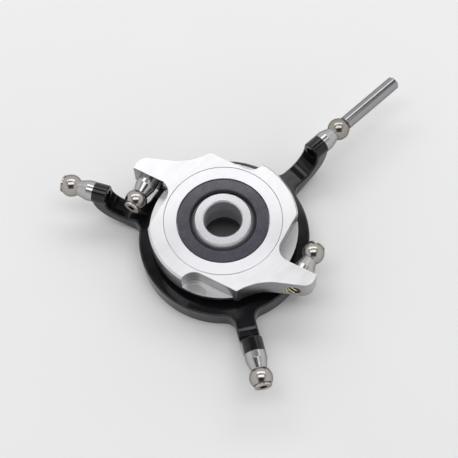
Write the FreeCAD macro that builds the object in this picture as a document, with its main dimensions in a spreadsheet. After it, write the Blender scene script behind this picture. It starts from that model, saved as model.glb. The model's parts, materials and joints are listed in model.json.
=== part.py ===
import FreeCAD, Part

import math
import os

import Sketcher

# A model-helicopter swashplate.  Frame: the origin is the centre of the tilting
# ball on the mast axis, +Z up along the mast, +X out along the guide pin's arm.
# The black lower half doesn't turn: it carries the sleeve, the ball's sockets,
# the bearing's inner race and three link balls.  The silver upper half spins on
# the bearing and carries two more link balls.  All lengths are in millimetres.

SIZES = [
    # the ball on the mast
    ("mast_radius", 4.0, "radius of the mast that the ball slides on"),
    ("mast_clearance", 0.01, "radial sliding clearance on the mast"),
    ("bore_radius", "=mast_radius + mast_clearance", "bore through the ball"),
    ("bore_chamfer", 0.28, "chamfer at both mouths of the bore"),
    ("bore_mouth_radius", "=bore_radius + bore_chamfer", "bore at its mouth"),
    ("ball_radius", 7.0, "spherical radius of the ball"),
    ("ball_half_height", 3.9, "centre to each flat end of the ball"),
    ("ball_chamfer_height", "=ball_half_height - bore_chamfer", "centre to the bore's chamfer"),
    ("ball_flat_radius", "=sqrt(ball_radius^2 - ball_half_height^2)", "radius of the flat ends"),
    # the thin liner and the two socket halves round the ball
    ("slide_clearance", 0.03, "running clearance between the spherical faces"),
    ("liner_thickness", 0.3, "thickness of the liner"),
    ("liner_half_height", 1.6, "centre to the liner's edge"),
    ("liner_inner_radius", "=ball_radius + slide_clearance", "spherical inside of the liner"),
    ("liner_outer_radius", "=liner_inner_radius + liner_thickness", "spherical outside of it"),
    ("liner_inner_edge", "=sqrt(liner_inner_radius^2 - liner_half_height^2)", "inner edge radius"),
    ("liner_outer_edge", "=sqrt(liner_outer_radius^2 - liner_half_height^2)", "outer edge radius"),
    ("cup_radius", "=liner_outer_radius + slide_clearance", "spherical seat in the sockets"),
    ("socket_wall", 0.94, "wall of the sockets at the equator"),
    ("socket_radius", "=cup_radius + socket_wall", "outside of the sockets"),
    ("socket_depth", 3.0, "centre to the lower socket's underside"),
    ("cup_high_edge", "=sqrt(cup_radius^2 - bearing_top^2)", "cup's upper edge"),
    ("cup_low_edge", "=sqrt(cup_radius^2 - socket_depth^2)", "cup's lower edge"),
    ("lock_ring_height", 1.2, "height of the ring that holds the sockets"),
    ("lock_ring_depth", "=socket_depth + lock_ring_height", "centre to the ring's underside"),
    ("lock_slot_half", 0.6, "half the width of the spanner slots in the ring"),
    ("lock_slot_depth", 0.6, "depth of the spanner slots"),
    # the black sleeve with its flange on top
    ("ring_top", 3.3, "height of the flush top faces"),
    ("flange_thickness", 1.0, "thickness of the sleeve's flange"),
    ("sleeve_wall", 0.7, "wall of the sleeve"),
    ("sleeve_radius", "=socket_radius + sleeve_wall", "outside of the sleeve"),
    ("flange_lip", 0.6, "flange's reach past the sleeve"),
    ("flange_radius", "=sleeve_radius + flange_lip", "outside of the flange"),
    ("flange_chamfer", 0.12, "edge chamfer of the flange"),
    ("opening_gap", 0.1, "gap between the ball and the opening round it"),
    ("opening_radius", "=ball_radius + opening_gap", "opening round the ball"),
    ("sleeve_setback", 0.55, "sleeve's lower end to the plate's underside"),
    ("sleeve_depth", "=plate_depth - sleeve_setback", "centre to the sleeve's lower end"),
    # the thin ball bearing between the halves
    ("race_height", 4.0, "width of both races"),
    ("bearing_top", "=ring_top - flange_thickness", "top of the races"),
    ("bearing_bottom", "=bearing_top - race_height", "underside of the races"),
    ("bearing_middle", "=bearing_top - race_height / 2", "height of the balls"),
    ("bearing_section", 3.5, "bore of the bearing to its outside"),
    ("bearing_radius", "=sleeve_radius + bearing_section", "outside of the bearing"),
    ("pitch_radius", "=sleeve_radius + bearing_section / 2", "circle of balls"),
    ("rolling_radius", 1.0, "radius of a bearing ball"),
    ("rolling_clearance", 0.03, "clearance between a ball and its groove"),
    ("groove_radius", "=rolling_radius + rolling_clearance", "radius of the grooves"),
    ("shoulder_step", 0.55, "pitch circle to each race's shoulder"),
    ("inner_shoulder", "=pitch_radius - shoulder_step", "shoulder of the inner race"),
    ("outer_shoulder", "=pitch_radius + shoulder_step", "shoulder of the outer race"),
    ("groove_half", "=sqrt(groove_radius^2 - shoulder_step^2)", "half the groove's width"),
    ("groove_high", "=bearing_middle + groove_half", "upper edge of the grooves"),
    ("groove_low", "=bearing_middle - groove_half", "lower edge of the grooves"),
    ("rolling_low", "=bearing_middle - rolling_radius", "lowest point of a ball"),
    ("rolling_high", "=bearing_middle + rolling_radius", "highest point of a ball"),
    ("rolling_edge", "=pitch_radius + rolling_radius", "outermost point of a ball"),
    ("rolling_count", 18, "number of bearing balls"),
    ("shield_thickness", 0.25, "thickness of a shield"),
    ("shield_recess", 0.3, "depth of the shields' recess"),
    ("shield_step", 0.4, "outer shoulder to a shield's outside"),
    ("shield_radius", "=outer_shoulder + shield_step", "outside of a shield"),
    ("shield_gap", 0.25, "inner shoulder to a shield's inside"),
    ("shield_inner_radius", "=inner_shoulder + shield_gap", "inside of a shield"),
    ("recess_high", "=bearing_top - shield_recess", "floor of the upper recess"),
    ("recess_low", "=bearing_bottom + shield_recess", "floor of the lower recess"),
    ("shield_high", "=recess_high + shield_thickness", "top of the upper shield"),
    ("shield_low", "=recess_low - shield_thickness", "underside of the lower shield"),
    ("cage_gap", 0.25, "clearance between the cage and the shoulders"),
    ("cage_inner_radius", "=inner_shoulder + cage_gap", "inside of the cage"),
    ("cage_outer_radius", "=outer_shoulder - cage_gap", "outside of the cage"),
    ("cage_clearance", 0.06, "clearance between a ball and its window"),
    ("window_radius", "=rolling_radius + cage_clearance", "radius of a window"),
    ("cage_web", 0.29, "web above and below a window"),
    ("cage_high", "=bearing_middle + window_radius + cage_web", "top of the cage"),
    ("cage_low", "=bearing_middle - window_radius - cage_web", "underside of the cage"),
    # the black lower plate
    ("plate_overhang", 2.55, "lower plate's rim past the upper plate's"),
    ("plate_radius", "=rotor_radius + plate_overhang", "outside of the lower plate"),
    ("plate_gap", 2.4, "gap between the two plates"),
    ("plate_top", "=rotor_depth + plate_gap", "centre down to the lower plate's top"),
    ("plate_thickness", 4.65, "thickness of the lower plate"),
    ("plate_depth", "=plate_top + plate_thickness", "centre down to its underside"),
    ("plate_chamfer", 0.3, "edge chamfer of the lower plate"),
    ("plate_seat_wall", 1.1, "wall of the shoulder under the inner race"),
    ("plate_seat_radius", "=sleeve_radius + plate_seat_wall", "outside of that shoulder"),
    ("shoulder_fillet", 0.4, "chamfer at the shoulder's foot"),
    ("relief_land", 1.3, "land between the shoulder and the groove under the plate"),
    ("relief_inner_radius", "=plate_seat_radius + relief_land", "inside of that groove"),
    ("relief_wall", 2.15, "rim of the plate outside that groove"),
    ("relief_outer_radius", "=plate_radius - relief_wall", "outside of that groove"),
    ("relief_depth", 1.3, "depth of the groove under the plate"),
    ("relief_floor", "=plate_depth - relief_depth", "centre down to the groove's floor"),
    ("shoulder_foot", "=plate_seat_radius + shoulder_fillet", "radius of the shoulder's foot"),
    ("shoulder_rise", "=plate_top - shoulder_fillet", "centre down to the foot's top"),
    # its three cranked arms
    ("arm_count", 3, "number of lower arms"),
    ("arm_half_width", 2.2, "half the width of an arm, radius of its collar"),
    ("arm_reach", 10.65, "plate's rim to the end of an arm"),
    ("arm_end", "=plate_radius + arm_reach", "axis to the collar's outer face"),
    ("collar_length", 3.2, "length of the collar"),
    ("collar_start", "=arm_end - collar_length", "axis to the collar's inner face"),
    ("collar_chamfer", 0.25, "chamfer at the collar's inner end"),
    ("collar_edge", "=arm_half_width - collar_chamfer", "radius of its inner face"),
    ("collar_shoulder", "=collar_start + collar_chamfer", "where that chamfer ends"),
    ("valley_radius", 4.4, "radius of the crank's hollow"),
    ("valley_start", "=collar_start - valley_radius", "axis to the hollow's centre"),
    ("valley_rise", "=plate_top - valley_radius", "centre down to the hollow's centre"),
    ("heel_radius", 7.3, "radius of the crank's outer curve"),
    ("heel_slope", 23, "slope of the arm's underside in degrees"),
    ("heel_end", "=valley_start + heel_radius", "outer curve at the collar's axis"),
    ("heel_turn", "=valley_start + heel_radius * sin(heel_slope)", "outer curve meets the slope"),
    ("heel_drop", "=heel_radius * cos(heel_slope)", "depth where they meet"),
    ("slope_run", "=(plate_depth - heel_drop) / tan(heel_slope)", "length of the slope"),
    ("slope_start", "=heel_turn - slope_run", "slope leaves the underside"),
    ("root_radius", 2.2, "fillet between an arm and the plate"),
    ("root_across", "=arm_half_width + root_radius", "fillet centre off the arm's axis"),
    ("root_along", "=sqrt((plate_radius + root_radius)^2 - root_across^2)", "and along it"),
    ("root_scale", "=plate_radius / (plate_radius + root_radius)", "share of that to the rim"),
    ("rim_along", "=root_along * root_scale", "fillet meets the plate, along the arm"),
    ("rim_across", "=root_across * root_scale", "fillet meets the plate, across it"),
    ("cut_margin", 1.5, "how far the cuts along an arm pass its faces"),
    ("cut_inner", "=rim_along - cut_margin", "where the cuts along an arm begin"),
    ("cut_outer", "=arm_end + cut_margin", "where they end"),
    ("cut_width", "=2 * (root_across + cut_margin)", "their width"),
    ("cut_high", "=arm_half_width + cut_margin", "height that they reach"),
    ("cut_low", "=plate_depth + cut_margin", "depth that they reach"),
    # the link balls
    ("link_radius", 2.4, "radius of a link ball"),
    ("neck_radius", 1.6, "neck behind a link ball"),
    ("link_reach", 5.3, "seat to the ball's centre"),
    ("link_circle", "=arm_end + link_reach", "axis to the lower link balls"),
    ("base_length", 1.45, "straight base of a stud"),
    ("base_end", "=link_reach - base_length", "ball centre to the cone's start"),
    ("neck_reach", "=sqrt(link_radius^2 - neck_radius^2)", "ball centre to the neck"),
    ("shank_radius", 1.24, "threaded shank of a stud"),
    ("shank_length", 2.2, "length of the shank"),
    ("shank_end", "=link_reach + shank_length", "ball centre to the shank's end"),
    ("tip_cut", 0.95, "part of the ball cut away on its outer side"),
    ("tip_groove_start", "=link_radius - tip_cut", "ball centre to the groove there"),
    ("tip_groove_width", 0.25, "width of the groove"),
    ("tip_groove_end", "=tip_groove_start + tip_groove_width", "groove's far side"),
    ("ball_edge_radius", "=sqrt(link_radius^2 - tip_groove_start^2)", "edge at the groove"),
    ("boss_step", 0.1, "ball's edge to the boss"),
    ("boss_radius", "=ball_edge_radius - boss_step", "round boss past the groove"),
    ("tip_groove_depth", 0.2, "depth of the groove"),
    ("tip_groove_radius", "=boss_radius - tip_groove_depth", "radius of its floor"),
    ("boss_height", 0.3, "height of the boss"),
    ("boss_end", "=tip_groove_end + boss_height", "ball centre to the boss's face"),
    ("boss_chamfer", 0.12, "edge chamfer of the boss"),
    ("boss_face_radius", "=boss_radius - boss_chamfer", "radius of the boss's face"),
    ("boss_shoulder", "=boss_end - boss_chamfer", "where that chamfer starts"),
    ("hex_flat", 0.75, "centre to a flat of the key socket"),
    ("hex_corner", "=hex_flat / cos(30)", "centre to a corner"),
    ("hex_half_side", "=hex_flat * tan(30)", "half of one side"),
    ("hex_depth", 1.3, "depth of the key socket"),
    ("tap_clearance", 0.02, "shank to the wall of its hole"),
    ("tap_radius", "=shank_radius + tap_clearance", "hole for a shank"),
    ("tap_overrun", 0.6, "tapped hole's run into the hollow"),
    ("tap_start", "=collar_start - tap_overrun", "inner end of the tapped hole"),
    # the guide pin
    ("pin_radius", 1.5, "radius of the guide pin"),
    ("pin_reach", 17.5, "ball centre to the pin's tip"),
    ("pin_sink", 0.6, "how far the pin's root lies past the ball's centre"),
    ("pin_root_step", 0.2, "step from the pin down to its pressed root"),
    ("pin_root_radius", "=pin_radius - pin_root_step", "radius of the root"),
    ("pin_mouth", "=sqrt(link_radius^2 - pin_root_radius^2)", "ball centre to the root's mouth"),
    ("pin_undercut", 0.1, "root's run past the mouth"),
    ("pin_start", "=pin_mouth + pin_undercut", "ball centre to the pin's full size"),
    ("pin_chamfer", 0.3, "chamfer at the pin's tip"),
    ("pin_tip_radius", "=pin_radius - pin_chamfer", "radius of the tip's face"),
    ("pin_shoulder", "=pin_reach - pin_chamfer", "where the tip's chamfer starts"),
    ("left_angle", 120, "direction of the second lower arm in degrees"),
    ("front_angle", 240, "direction of the third lower arm in degrees"),
    ("left_x", "=link_circle * cos(left_angle)", "second lower ball"),
    ("left_y", "=link_circle * sin(left_angle)", "second lower ball"),
    ("front_x", "=link_circle * cos(front_angle)", "third lower ball"),
    ("front_y", "=link_circle * sin(front_angle)", "third lower ball"),
    # the silver upper plate, drawn in its own turned frame
    ("clocking", -71, "turn of the upper plate about the mast in degrees"),
    ("rotor_wall", 3.3, "upper plate's rim outside the bearing"),
    ("rotor_radius", "=bearing_radius + rotor_wall", "outside of the upper plate"),
    ("race_lip", 0.5, "lip under the outer race"),
    ("rotor_depth", "=race_lip - bearing_bottom", "centre down to its underside"),
    ("rotor_height", "=rotor_depth + ring_top", "thickness of the upper plate"),
    ("rotor_chamfer", 0.45, "chamfer round the top of its disc"),
    ("rotor_shoulder", "=ring_top - rotor_chamfer", "and where that starts, upwards"),
    ("rotor_edge", "=rotor_radius - rotor_chamfer", "and where that ends, outwards"),
    ("arm_pairs", 2, "number of upper arms"),
    ("seat_across", 2.05, "seat face to the arm's reference axis"),
    ("stud_reach", 3.7, "upper plate's rim to a stud's axis"),
    ("stud_along", "=rotor_radius + stud_reach", "upper link ball, along the arm"),
    ("tip_land", 3.4, "stud's axis to the arm's tip"),
    ("arm_tip", "=stud_along + tip_land", "axis to the arm's tip"),
    ("nose_across", 3.6, "tip's flank ends here"),
    ("nose_radius", 2.2, "rounding of the arm's nose"),
    ("nose_land", 1.7, "stud's axis to the end of the nose's rounding"),
    ("nose_along", "=stud_along + nose_land", "nose rounding ends, along"),
    ("flank_across", 5.6, "nose rounding ends, across"),
    ("waist_land", 3.3, "stud's axis back to the end of the straight flank"),
    ("waist_along", "=stud_along - waist_land", "straight flank ends, along"),
    ("waist_across", 7.45, "straight flank ends, across"),
    ("waist_radius", 12.5, "hollow curve from the flank to the slot"),
    ("heel_proud", 0.9, "where it meets the slot, past the plate's rim"),
    ("heel_along", "=sqrt(rotor_radius^2 - slot_wall^2) + heel_proud", "and along the arm"),
    ("inner_along", 8.0, "arm's hidden root inside the plate"),
    ("pocket_floor", 1.1, "centre down to the floor of both pockets"),
    ("pocket_web", 0.55, "metal between the bearing and the ball's pocket"),
    ("pocket_wall", "=bearing_radius + pocket_web", "wall of the ball's pocket"),
    ("cutter_radius", 3.05, "radius of the milling cutter"),
    ("pocket_turn", "=pocket_wall + cutter_radius", "corner rounding ends, along"),
    ("pocket_rise", "=cutter_radius - seat_across", "corner rounding starts, across"),
    ("pocket_far", "=arm_tip + cut_margin", "pocket cut runs out to here"),
    ("slot_web", 0.35, "metal between the bearing and the lightening slot"),
    ("slot_wall", "=bearing_radius + slot_web", "wall of the lightening slot"),
    ("slot_centre", 1.75, "end of the slot, along"),
    ("slot_end", "=slot_centre - cutter_radius", "outermost end of the slot"),
    ("slot_across", "=slot_wall + cutter_radius", "end of the slot, across"),
    ("slot_run_out", "=heel_along + cut_margin", "slot cut runs out to here"),
    ("slot_far", "=slot_across + cut_margin", "slot cut runs down to here"),
    ("mark_step", 0.7, "cutter's path to the round mark"),
    ("mark_radius", "=cutter_radius - mark_step", "round mark at the slot's end"),
    ("mark_depth", 0.15, "depth of the mark"),
    ("mark_floor", "=pocket_floor + mark_depth", "centre down to the mark's floor"),
    ("race_clearance", 0.01, "outer race to the wall of its seat"),
    ("seat_radius", "=bearing_radius + race_clearance", "bearing seat in the upper plate"),
    ("stud_across", "=link_reach - seat_across", "upper link ball, across it"),
    ("upper_x", "=stud_along * cos(clocking) - stud_across * sin(clocking)", "upper ball"),
    ("upper_y", "=stud_along * sin(clocking) + stud_across * cos(clocking)", "upper ball"),
    ("stud_turn", "=clocking + 90", "direction of the first upper stud in degrees"),
    ("stud_turn_back", "=clocking + 270", "direction of the second one"),
    ("insert_wall", 0.34, "wall of a threaded insert"),
    ("insert_radius", "=tap_radius + insert_wall", "outside of an insert"),
    ("insert_length", 3.3, "length of an insert"),
    ("insert_sink", 0.1, "insert set back from the seat face"),
    ("insert_start", "=link_reach + insert_sink", "ball centre to the insert"),
    ("insert_end", "=insert_start + insert_length", "ball centre to its far end"),
    ("insert_clearance", 0.01, "insert to the wall of its hole"),
    ("insert_hole_radius", "=insert_radius + insert_clearance", "hole for an insert"),
    # the silver ring that covers the bearing
    ("cover_gap", 0.15, "gap between the flange and the cover ring"),
    ("cover_inner_radius", "=flange_radius + cover_gap", "inside of the cover ring"),
    ("cover_seam", 0.03, "seam round the cover ring"),
    ("cover_radius", "=bearing_radius - cover_seam", "outside of the cover ring"),
    ("cover_chamfer", 0.08, "edge chamfer of the cover ring"),
    ("cover_edge", "=cover_radius - cover_chamfer", "outer edge of its top face"),
    ("cover_inner_edge", "=cover_inner_radius + cover_chamfer", "inner edge of its top face"),
    ("cover_shoulder", "=ring_top - cover_chamfer", "where its chamfers start"),
    ("flange_edge", "=flange_radius - flange_chamfer", "outer edge of the flange's face"),
    ("flange_shoulder", "=ring_top - flange_chamfer", "where the flange's chamfers start"),
    ("opening_edge", "=opening_radius + flange_chamfer", "inner edge of the flange's face"),
]

NEAR = 1e-3  # two places closer than this are the same

doc = FreeCAD.newDocument("swashplate")
sheet = doc.addObject("Spreadsheet::Sheet", "Sizes")
for row, (alias, _, meaning) in enumerate(SIZES, start=1):
    sheet.set("A%d" % row, alias)
    sheet.set("C%d" % row, meaning)
    sheet.setAlias("B%d" % row, alias)
for row, (_, content, _) in enumerate(SIZES, start=1):
    sheet.set("B%d" % row, str(content))
doc.recompute()

pieces = []


def size(name):
    """The value of a named size; a leading minus negates it and 0 is nought."""
    if name == 0:
        return 0.0
    if name.startswith("-"):
        return -float(sheet.get(name[1:]))
    return float(sheet.get(name))


def formula(name):
    """The same size as an expression on the spreadsheet."""
    if name.startswith("-"):
        return "-Sizes." + name[1:]
    return "Sizes." + name


def new_body(label):
    body = doc.addObject("PartDesign::Body", label)
    body.Label = label
    pieces.append(body)
    return body


def plane_of(body, role):
    for feature in body.Origin.OriginFeatures:
        if feature.Role == role:
            return feature
    raise RuntimeError("no plane " + role)


def new_sketch(body, role, offset=None):
    """A sketch on one of the body's own planes, moved along its normal by a size."""
    sketch = body.newObject("Sketcher::SketchObject", body.Label + "_sketch")
    sketch.AttachmentSupport = [(plane_of(body, role), "")]
    sketch.MapMode = "FlatFace"
    if offset is not None:
        sketch.setExpression("AttachmentOffset.Base.z", formula(offset))
    return sketch


def fix_point(sketch, geometry, end, point):
    """Dimension one point of the sketch from its origin."""
    for kind, axis, name in (("DistanceX", -2, point[0]), ("DistanceY", -1, point[1])):
        if name == 0:
            sketch.addConstraint(Sketcher.Constraint("PointOnObject", geometry, end, axis))
        else:
            index = sketch.addConstraint(Sketcher.Constraint(kind, geometry, end, size(name)))
            sketch.setExpression("Constraints[%d]" % index, formula(name))


def arc_between(start, end, radius, side):
    """The shorter arc between two points; side 1 has its centre on the left."""
    chord = end - start
    height = math.sqrt(max(radius ** 2 - chord.Length ** 2 / 4, 0.0))
    normal = FreeCAD.Vector(-chord.y, chord.x, 0).normalize()
    centre = (start + end) / 2 + normal * height * side
    first, last = (start, end) if side > 0 else (end, start)
    angles = [math.atan2(p.y - centre.y, p.x - centre.x) for p in (first, last)]
    circle = Part.Circle(centre, FreeCAD.Vector(0, 0, 1), radius)
    return Part.ArcOfCircle(circle, angles[0], angles[1])


def outline(sketch, points, arcs=None):
    """A closed outline through dimensioned points.  arcs maps the number of a
    side to the name of its radius and to the side that its centre is on."""
    arcs = arcs or {}
    vectors = [FreeCAD.Vector(size(x), size(y), 0) for x, y in points]
    ends = []
    for number, start in enumerate(vectors):
        end = vectors[(number + 1) % len(vectors)]
        if number in arcs:
            radius, side = arcs[number]
            index = sketch.addGeometry(arc_between(start, end, size(radius), side), False)
            bend = sketch.addConstraint(Sketcher.Constraint("Radius", index, size(radius)))
            sketch.setExpression("Constraints[%d]" % bend, formula(radius))
            ends.append((index, 1, 2) if side > 0 else (index, 2, 1))
        else:
            index = sketch.addGeometry(Part.LineSegment(start, end), False)
            ends.append((index, 1, 2))
    for number, (index, first, last) in enumerate(ends):
        following, begin, _ = ends[(number + 1) % len(ends)]
        sketch.addConstraint(Sketcher.Constraint("Coincident", index, last, following, begin))
    for (index, first, last), point in zip(ends, points):
        fix_point(sketch, index, first, point)
    return sketch


def circle(sketch, centre, radius):
    middle = FreeCAD.Vector(size(centre[0]), size(centre[1]), 0)
    index = sketch.addGeometry(Part.Circle(middle, FreeCAD.Vector(0, 0, 1), size(radius)), False)
    if centre == (0, 0):
        sketch.addConstraint(Sketcher.Constraint("Coincident", index, 3, -1, 1))
    else:
        fix_point(sketch, index, 3, centre)
    bend = sketch.addConstraint(Sketcher.Constraint("Radius", index, size(radius)))
    sketch.setExpression("Constraints[%d]" % bend, formula(radius))
    return sketch


def feature(body, kind, sketch):
    made = body.newObject("PartDesign::" + kind, "%s_%s" % (body.Label, kind.lower()))
    made.Profile = sketch
    sketch.Visibility = False
    return made


def extrude(body, kind, sketch, length, side="One side", reverse=False):
    """A Pad or a Pocket of a named length."""
    made = feature(body, kind, sketch)
    made.Type = 0
    made.SideType = side
    made.Reversed = reverse
    made.setExpression("Length", formula(length))
    doc.recompute()
    return made


def turn(body, kind, sketch, axis):
    """A full Revolution or Groove about the sketch's own H_Axis or V_Axis."""
    made = feature(body, kind, sketch)
    made.ReferenceAxis = (sketch, [axis])
    made.Angle = 360
    doc.recompute()
    return made


def repeat(body, originals, count):
    """A polar pattern of features about the mast axis."""
    made = body.newObject("PartDesign::PolarPattern", body.Label + "_pattern")
    made.Originals = originals
    made.Axis = (plane_of(body, "Z_Axis"), [""])
    made.Angle = 360
    made.setExpression("Occurrences", formula(count))
    body.Tip = made
    doc.recompute()
    return made


def chamfer(body, width, wanted):
    """Chamfer every edge of the body so far that wanted(edge) picks."""
    base = body.Tip
    names = ["Edge%d" % n for n, edge in enumerate(base.Shape.Edges, start=1) if wanted(edge)]
    made = body.newObject("PartDesign::Chamfer", body.Label + "_chamfer")
    made.Base = (base, names)
    made.setExpression("Size", formula(width))
    body.Tip = made
    doc.recompute()
    return made


def place(body, x=0, y=0, turned=0):
    """Put a body at a named place, turned about Z by a named angle."""
    body.Placement = FreeCAD.Placement(
        FreeCAD.Vector(size(x), size(y), 0),
        FreeCAD.Rotation(FreeCAD.Vector(0, 0, 1), size(turned)),
    )
    for path, name in (("Base.x", x), ("Base.y", y), ("Rotation.Angle", turned)):
        if name != 0:
            body.setExpression("Placement." + path, formula(name))


def ring(label, points, arcs=None):
    """A piece turned about the mast axis; its points are (radius, height)."""
    body = new_body(label)
    turn(body, "Revolution", outline(new_sketch(body, "XZ_Plane"), points, arcs), "V_Axis")
    return body


def uniball():
    return ring("uniball", [
        ("bore_radius", "-ball_chamfer_height"),
        ("bore_mouth_radius", "-ball_half_height"),
        ("ball_flat_radius", "-ball_half_height"),
        ("ball_flat_radius", "ball_half_height"),
        ("bore_mouth_radius", "ball_half_height"),
        ("bore_radius", "ball_chamfer_height"),
    ], {2: ("ball_radius", 1)})


def uniball_liner():
    return ring("uniball_liner", [
        ("liner_inner_edge", "-liner_half_height"),
        ("liner_outer_edge", "-liner_half_height"),
        ("liner_outer_edge", "liner_half_height"),
        ("liner_inner_edge", "liner_half_height"),
    ], {1: ("liner_outer_radius", 1), 3: ("liner_inner_radius", -1)})


def ball_sockets():
    """Two halves that close round the liner, parted at the ball's equator."""
    ring("ball_socket_upper", [
        ("cup_radius", 0),
        ("socket_radius", 0),
        ("socket_radius", "bearing_top"),
        ("cup_high_edge", "bearing_top"),
    ], {3: ("cup_radius", -1)})
    ring("ball_socket_lower", [
        ("cup_low_edge", "-socket_depth"),
        ("socket_radius", "-socket_depth"),
        ("socket_radius", 0),
        ("cup_radius", 0),
    ], {3: ("cup_radius", -1)})


def socket_lock_ring():
    """Threaded ring under the sockets, slotted across its underside for a spanner."""
    body = ring("socket_lock_ring", [
        ("opening_radius", "-lock_ring_depth"),
        ("socket_radius", "-lock_ring_depth"),
        ("socket_radius", "-socket_depth"),
        ("opening_radius", "-socket_depth"),
    ])
    slots = outline(new_sketch(body, "XY_Plane", "-lock_ring_depth"), [
        ("-sleeve_radius", "-lock_slot_half"),
        ("sleeve_radius", "-lock_slot_half"),
        ("sleeve_radius", "lock_slot_half"),
        ("-sleeve_radius", "lock_slot_half"),
    ])
    extrude(body, "Pocket", slots, "lock_slot_depth", reverse=True)


def hub_sleeve():
    """Flanged sleeve that holds the sockets and clamps the bearing's inner race."""
    ring("hub_sleeve", [
        ("socket_radius", "-sleeve_depth"),
        ("sleeve_radius", "-sleeve_depth"),
        ("sleeve_radius", "bearing_top"),
        ("flange_radius", "bearing_top"),
        ("flange_radius", "flange_shoulder"),
        ("flange_edge", "ring_top"),
        ("opening_edge", "ring_top"),
        ("opening_radius", "flange_shoulder"),
        ("opening_radius", "bearing_top"),
        ("socket_radius", "bearing_top"),
    ])


def bearing_races():
    ring("bearing_inner_race", [
        ("sleeve_radius", "bearing_bottom"),
        ("inner_shoulder", "bearing_bottom"),
        ("inner_shoulder", "groove_low"),
        ("inner_shoulder", "groove_high"),
        ("inner_shoulder", "bearing_top"),
        ("sleeve_radius", "bearing_top"),
    ], {2: ("groove_radius", -1)})
    ring("bearing_outer_race", [
        ("bearing_radius", "bearing_bottom"),
        ("bearing_radius", "bearing_top"),
        ("shield_radius", "bearing_top"),
        ("shield_radius", "recess_high"),
        ("outer_shoulder", "recess_high"),
        ("outer_shoulder", "groove_high"),
        ("outer_shoulder", "groove_low"),
        ("outer_shoulder", "recess_low"),
        ("shield_radius", "recess_low"),
        ("shield_radius", "bearing_bottom"),
    ], {5: ("groove_radius", -1)})


def bearing_shields():
    """Thin washers that close the bearing above and below its balls."""
    for label, low, high in (
        ("bearing_shield_upper", "recess_high", "shield_high"),
        ("bearing_shield_lower", "shield_low", "recess_low"),
    ):
        ring(label, [
            ("shield_inner_radius", low),
            ("shield_radius", low),
            ("shield_radius", high),
            ("shield_inner_radius", high),
        ])


def bearing_cage():
    """A ring with one round window for each ball."""
    body = ring("bearing_cage", [
        ("cage_inner_radius", "cage_low"),
        ("cage_outer_radius", "cage_low"),
        ("cage_outer_radius", "cage_high"),
        ("cage_inner_radius", "cage_high"),
    ])
    window = circle(new_sketch(body, "YZ_Plane"), (0, "bearing_middle"), "window_radius")
    cut = extrude(body, "Pocket", window, "bearing_radius")
    repeat(body, [cut], "rolling_count")


def bearing_balls():
    """The balls: a half disc turned about its own upright side, repeated round
    the pitch circle."""
    body = new_body("bearing_balls")
    body.AllowCompound = True
    half = outline(new_sketch(body, "XZ_Plane"), [
        ("pitch_radius", "rolling_low"),
        ("rolling_edge", "bearing_middle"),
        ("pitch_radius", "rolling_high"),
    ], {0: ("rolling_radius", 1), 1: ("rolling_radius", 1)})
    low = FreeCAD.Vector(size("pitch_radius"), size("rolling_low"), 0)
    high = FreeCAD.Vector(size("pitch_radius"), size("rolling_high"), 0)
    axis = half.addGeometry(Part.LineSegment(low, high), True)
    fix_point(half, axis, 1, ("pitch_radius", "rolling_low"))
    fix_point(half, axis, 2, ("pitch_radius", "rolling_high"))
    repeat(body, [turn(body, "Revolution", half, "Axis0")], "rolling_count")


def lower_plate():
    """Disc with a raised seat for the inner race and three arms cranked upwards."""
    body = ring("lower_plate", [
        ("sleeve_radius", "-plate_depth"),
        ("relief_inner_radius", "-plate_depth"),
        ("relief_inner_radius", "-relief_floor"),
        ("relief_outer_radius", "-relief_floor"),
        ("relief_outer_radius", "-plate_depth"),
        ("plate_radius", "-plate_depth"),
        ("plate_radius", "-plate_top"),
        ("shoulder_foot", "-plate_top"),
        ("plate_seat_radius", "-shoulder_rise"),
        ("plate_seat_radius", "bearing_bottom"),
        ("sleeve_radius", "bearing_bottom"),
    ])
    plan = outline(new_sketch(body, "XY_Plane", "-plate_depth"), [
        ("rim_along", "rim_across"),
        ("root_along", "arm_half_width"),
        ("arm_end", "arm_half_width"),
        ("arm_end", "-arm_half_width"),
        ("root_along", "-arm_half_width"),
        ("rim_along", "-rim_across"),
    ], {0: ("root_radius", 1), 4: ("root_radius", 1)})
    block = extrude(body, "Pad", plan, "plate_depth")
    hollow = outline(new_sketch(body, "XZ_Plane"), [
        ("cut_inner", "-plate_top"),
        ("valley_start", "-plate_top"),
        ("collar_start", "-valley_rise"),
        ("collar_start", "cut_high"),
        ("cut_inner", "cut_high"),
    ], {1: ("valley_radius", 1)})
    above = extrude(body, "Pocket", hollow, "cut_width", "Symmetric")
    underside = outline(new_sketch(body, "XZ_Plane"), [
        ("slope_start", "-plate_depth"),
        ("heel_turn", "-heel_drop"),
        ("heel_end", 0),
        ("cut_outer", 0),
        ("cut_outer", "-cut_low"),
        ("slope_start", "-cut_low"),
    ], {1: ("heel_radius", 1)})
    below = extrude(body, "Pocket", underside, "cut_width", "Symmetric")
    barrel = outline(new_sketch(body, "XZ_Plane"), [
        ("collar_start", 0),
        ("arm_end", 0),
        ("arm_end", "arm_half_width"),
        ("collar_shoulder", "arm_half_width"),
        ("collar_start", "collar_edge"),
    ])
    collar = turn(body, "Revolution", barrel, "H_Axis")
    bore = outline(new_sketch(body, "XZ_Plane"), [
        ("tap_start", 0),
        ("cut_outer", 0),
        ("cut_outer", "tap_radius"),
        ("tap_start", "tap_radius"),
    ])
    tapped = turn(body, "Groove", bore, "H_Axis")
    repeat(body, [block, above, below, collar, tapped], "arm_count")
    level = -size("plate_top")
    foot = size("cut_inner")
    step = size("valley_start")

    def on_the_rim(edge):
        """Level with the top, outside the shoulder, and not the line across an arm."""
        flat = all(abs(v.Z - level) < NEAR for v in edge.Vertexes)
        reach = [math.hypot(v.X, v.Y) for v in edge.Vertexes]
        return flat and min(reach) > foot and min(reach) < step

    chamfer(body, "plate_chamfer", on_the_rim)


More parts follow.
